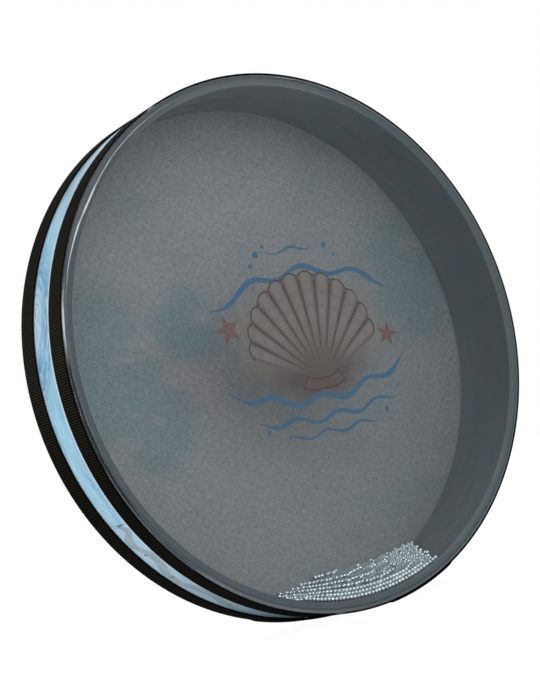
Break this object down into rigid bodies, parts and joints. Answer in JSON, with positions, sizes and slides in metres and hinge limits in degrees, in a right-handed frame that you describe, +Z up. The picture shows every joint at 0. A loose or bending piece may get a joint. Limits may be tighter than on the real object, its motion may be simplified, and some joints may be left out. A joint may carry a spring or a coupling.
{
  "type": "ocean drum",
  "caption": "Round frame drum closed by a clear front film and a textured rear film, with loose steel beads inside that roll round the wall.",
  "frame": {"origin": "centre of the drum's depth and width, at the floor that the drum stands on", "axes": "+Z up, +Y from the clear front head towards the rear head along the drum's axis, +X to the right as seen from the front"},
  "size_m": [0.409, 0.0636, 0.4096],
  "materials": {
    "hoop": "laminated fibre hoop, sealed dark grey",
    "wrap": "light blue printed wrap with white streaks, satin",
    "adhesive": "cured adhesive",
    "clear_film": "clear polyester film, gloss",
    "textured_film": "polyester film with a cloth-like grain, matt smoky grey",
    "webbing": "black ribbed woven band",
    "beads": "bright steel balls, slightly dulled"
  },
  "bodies": {
    "drum": {"shell": "hoop", "shell_wrap": "wrap", "front_adhesive": "adhesive", "rear_adhesive": "adhesive", "front_head": "clear_film", "rear_head": "textured_film", "front_webbing": "webbing", "rear_webbing": "webbing"},
    "wall_beads": {"bead_row_1": "beads", "bead_row_2": "beads", "bead_row_3": "beads"},
    "surface_beads": {"bead_row_4": "beads", "bead_row_5": "beads", "bead_row_6": "beads", "bead_row_7": "beads"}
  },
  "joints": [
    {"name": "beads_round_wall", "type": "hinge", "parent": "drum", "child": "wall_beads", "pos_m": [0, 0, 0.20507], "axis": [0, 1, 0], "continuous": true},
    {"name": "surface_slide", "type": "hinge", "parent": "wall_beads", "child": "surface_beads", "pos_m": [0, 0, 0.20507], "axis": [0, 1, 0], "range_deg": [-20, 20]}
  ]
}
